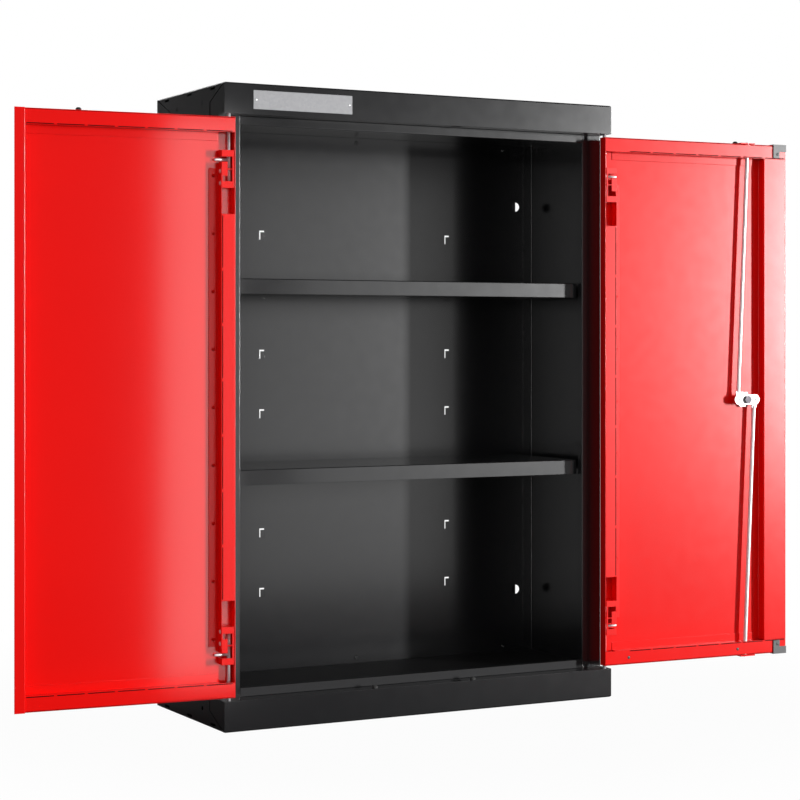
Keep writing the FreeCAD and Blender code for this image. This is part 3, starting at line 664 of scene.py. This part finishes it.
for row, z, count in FREE_ROWS:
    mesh = plate("tongue", size, TONGUE_BEVEL, Matrix())
    start = (centre + Vector((-SLOT_X, 0, z))) * MM
    step = Vector((0, 0, SLOT_PITCH * MM))
    name = row + "_slot_tongues"
    set_out(name, "carcass", mesh, black_paint, start, step, count, rows=2, row_step=columns)
print("tongues:", sum(2 * count for _, _, count in FREE_ROWS))

# %% [markdown]
# ## The blank plate
# A plate sits on the fascia near its left end. On this part it is a plain one of brushed aluminium with
# nothing on it, held by two small pins.

# %% Fascia plate
PLATE_SIZE, PLATE_BEVEL = (171.0, 0.9, 29.5), 0.4
PLATE_MIDDLE = (-221.0, -140.3, 975.0)
mesh = plate("blank_plate", PLATE_SIZE, PLATE_BEVEL, Matrix.Translation(Vector(PLATE_MIDDLE) * MM))
mesh.materials.append(aluminium)
show("blank_plate", mesh, "carcass")
PIN = ((0, 0.7), (1.0, 0.6), (1.6, 0.3), (1.8, 0.0), (1.8, -0.2), (0, -0.2))
PIN_INSET = 5.0
pin_span = PLATE_SIZE[0] - 2 * PIN_INSET
pin_y = PLATE_MIDDLE[1] - PLATE_SIZE[1] / 2
mesh = turned("plate_pin", PIN, SMALL_ROUND, forward)
start = Vector((PLATE_MIDDLE[0] - pin_span / 2, pin_y, PLATE_MIDDLE[2])) * MM
set_out("plate_pins", "carcass", mesh, zinc, start, step=(pin_span * MM, 0, 0), count=2)
print("blank plate:", PLATE_SIZE)

# %% [markdown]
# ## Plugs and pins on the right door
# Two holes in the right door's lower flange are shut by dark plugs, and each corner cap is held by a pin.

# %% Plugs and pins
PLUG = ((0, 0.5), (1.8, 0.5), (2.5, 0.2), (2.6, 0.0), (2.6, -0.3), (0, -0.3))
PLUG_PLACES = (-305.1, -82.0)
PLUG_Z = 65.6
mesh = turned("plug", PLUG, ROUND, door_turn("right"))
start = on_door("right", PLUG_PLACES[0], INNER_Y, PLUG_Z)
step = on_door("right", PLUG_PLACES[1], INNER_Y, PLUG_Z) - start
set_out("flange_plugs", "right_door", mesh, plastic, start, step, count=2)
CAP_PIN_X, CAP_PIN_DROP, CAP_WALL = 1.6, 15.8, 2.0
mesh = turned("cap_pin", PLUG, ROUND, door_turn("right"))
start = on_door("right", CAP_PIN_X, INNER_Y + CAP_WALL, DOOR_LOW + CAP_PIN_DROP)
rise = Vector((0, 0, (DOOR_HIGH - DOOR_LOW - 2 * CAP_PIN_DROP) * MM))
set_out("corner_cap_pins", "right_door", mesh, plastic, start, step=rise, count=2)
print("plugs: 2, pins: 2")

# %% [markdown]
# ## Painted shade in the rod rivets
# The two rivets that join the rods to the crank are hollow at the end. Their shade is painted: a thin black
# disc on each rivet head gives the dark dot. The joints of the rods tell where they are, and the CAD mesh
# tells how far the rivet heads stand out.

# %% Painted pit shades
# A thin black disc, not a hollow: painted shade of the rivet's hollow end.
PIT_SHADE = ((0, 0.3), (1.9, 0.3), (2.2, 0.0), (2.2, -0.2), (0, -0.2))
inner = door_turn("right") @ Vector((0, 1, 0))
upper, lower = (Vector(hinges[name]["pos_m"]) for name in ("upper_rod_swing", "lower_rod_swing"))
head = max((vertex.co - upper).dot(inner) for vertex in nodes["rod_rivets"].data.vertices)
mesh = turned("painted_pit_shade", PIT_SHADE, SMALL_ROUND, door_turn("right"))
set_out("painted_pit_shades", "lock", mesh, rubber, upper + inner * head, step=lower - upper, count=2)
print("rivet heads stand out", round(head / MM, 1), "mm")

# %% [markdown]
# ## The pivot bolts
# A bolt is one bent piece on the real door: a round pin with a blunt nose, and a round handle with a domed
# end. The CAD handle is a prism with few sides, so a turned pin and a turned handle stand in for it here.

# %% Pivot bolts
BOLT_RADIUS, HANDLE_RADIUS, HANDLE_LENGTH = 3.0, 2.2, 24.0
BOLT_LOW, BOLT_TIP, HANDLE_Z = 846.3, 960.0, 880.3
PIVOT_X, PIVOT_Y = -345.3, -134.0
NOSE, PIN_ROUND, DOME_STEPS = 1.0, 24, 5
pin_profile = ((0, BOLT_LOW), (BOLT_RADIUS - NOSE, BOLT_LOW), (BOLT_RADIUS, BOLT_LOW + NOSE),
               (BOLT_RADIUS, BOLT_TIP - NOSE), (BOLT_RADIUS - NOSE, BOLT_TIP), (0, BOLT_TIP))
handle_profile = [(0, 0), (HANDLE_RADIUS, 0), (HANDLE_RADIUS, HANDLE_LENGTH - HANDLE_RADIUS)]
for step in range(1, DOME_STEPS + 1):
    angle = step * math.pi / (2 * DOME_STEPS)
    radius = 0 if step == DOME_STEPS else HANDLE_RADIUS * math.cos(angle)
    handle_profile.append((radius, HANDLE_LENGTH + HANDLE_RADIUS * (math.sin(angle) - 1)))
upward = Matrix.Rotation(math.pi / 2, 4, "X")
downward = Matrix.Translation((0, 0, 2 * MIDDLE_Z * MM)) @ Matrix.Rotation(-math.pi / 2, 4, "X")
for hand in ("left", "right"):
    foot = Matrix.Translation(on_door(hand, PIVOT_X, PIVOT_Y, 0))
    for end, sign, upright in (("upper", 1, upward), ("lower", -1, downward)):
        node = hand + "_" + end + "_bolt"
        pin = turned(node + "_pin", pin_profile, PIN_ROUND, foot @ upright)
        root = on_door(hand, PIVOT_X, PIVOT_Y, MIDDLE_Z + sign * (HANDLE_Z - MIDDLE_Z))
        place = Matrix.Translation(root) @ facing_middle(hand)
        handle = turned(node + "_handle", handle_profile, ROUND, place)
        bolt = joined(node + "_turned", (pin, handle))
        bolt.materials.append(zinc)
        piece = show("turned_" + node, bolt, node)
        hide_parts(node)
print("turned bolts: 4")
